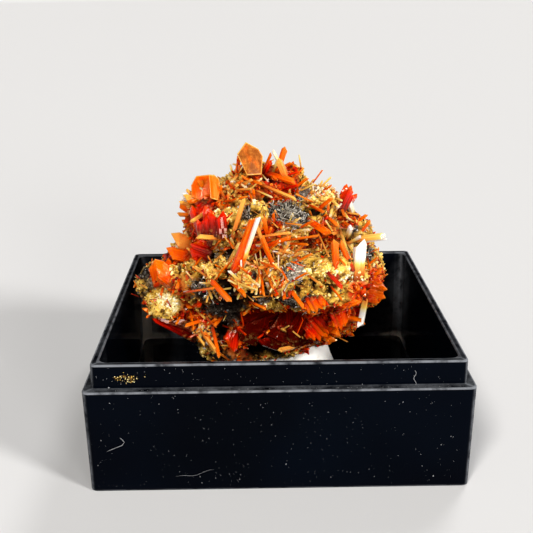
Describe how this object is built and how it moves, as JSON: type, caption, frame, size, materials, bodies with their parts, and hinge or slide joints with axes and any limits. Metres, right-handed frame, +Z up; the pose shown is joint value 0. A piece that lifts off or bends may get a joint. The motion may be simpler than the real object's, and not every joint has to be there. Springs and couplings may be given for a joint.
{
  "type": "crocoite specimen in a display box base",
  "caption": "Thumbnail mineral specimen: orange-red crocoite prisms on a brown gossan matrix, held by putty in the black base of a square display box.",
  "frame": {"origin": "centre of the underside of the box base", "axes": "+Z up; the specimen's best face looks along -Y; +X is to the right of someone facing it"},
  "size_m": [0.032, 0.032, 0.0266],
  "materials": {
    "black_styrene": "polished injection-moulded black polystyrene with dust and fine scuffs",
    "white_putty": "soft satin white mounting putty, thumbed smooth",
    "gossan": "earthy to crumbly limonite, ochre to brown, with black manganese oxide patches",
    "crocoite": "adamantine to vitreous, translucent orange-red prisms, striated along their length"
  },
  "bodies": {
    "root": {"display_box_base": "black_styrene", "mounting_putty": "white_putty", "matrix": "gossan", "crown_crystal_1": "crocoite", "crown_crystal_2": "crocoite", "crown_cluster_3": "crocoite", "crown_cluster_4": "crocoite", "upper_left_cluster_1": "crocoite", "upper_left_crystal_2": "crocoite", "upper_left_crystal_3": "crocoite", "upper_left_crystal_4": "crocoite", "upper_left_crystal_5": "crocoite", "left_step_crystal_1": "crocoite", "left_step_cluster_2": "crocoite", "foot_crystal_1": "crocoite", "foot_cluster_2": "crocoite", "foot_cluster_3": "crocoite", "foot_cluster_4": "crocoite", "front_ledge_crystal_1": "crocoite", "front_ledge_crystal_2": "crocoite", "front_ledge_crystal_3": "crocoite", "front_ledge_crystal_4": "crocoite", "lower_right_crystal_1": "crocoite", "lower_right_crystal_2": "crocoite", "lower_right_crystal_3": "crocoite", "lower_right_crystal_4": "crocoite", "lower_right_cluster_5": "crocoite", "right_crystal_1": "crocoite", "right_crystal_2": "crocoite", "right_crystal_3": "crocoite", "right_crystal_4": "crocoite", "right_crystal_5": "crocoite", "right_crystal_6": "crocoite", "centre_crystal_1": "crocoite", "centre_crystal_2": "crocoite", "centre_crystal_3": "crocoite", "centre_crystal_4": "crocoite", "centre_crystal_5": "crocoite", "centre_crystal_6": "crocoite", "centre_crystal_7": "crocoite", "back_crystal_1": "crocoite", "back_crystal_2": "crocoite", "back_crystal_3": "crocoite", "back_crystal_4": "crocoite", "right_side_crystal_1": "crocoite", "back_cluster_5": "crocoite", "back_cluster_6": "crocoite", "back_cluster_7": "crocoite", "back_cluster_8": "crocoite", "back_cluster_9": "crocoite", "back_cluster_10": "crocoite", "right_side_cluster_2": "crocoite", "right_side_crystal_3": "crocoite", "right_side_cluster_4": "crocoite", "right_side_cluster_5": "crocoite", "left_side_cluster_1": "crocoite", "left_side_cluster_2": "crocoite", "left_side_cluster_3": "crocoite", "left_side_cluster_4": "crocoite"}
  },
  "joints": []
}
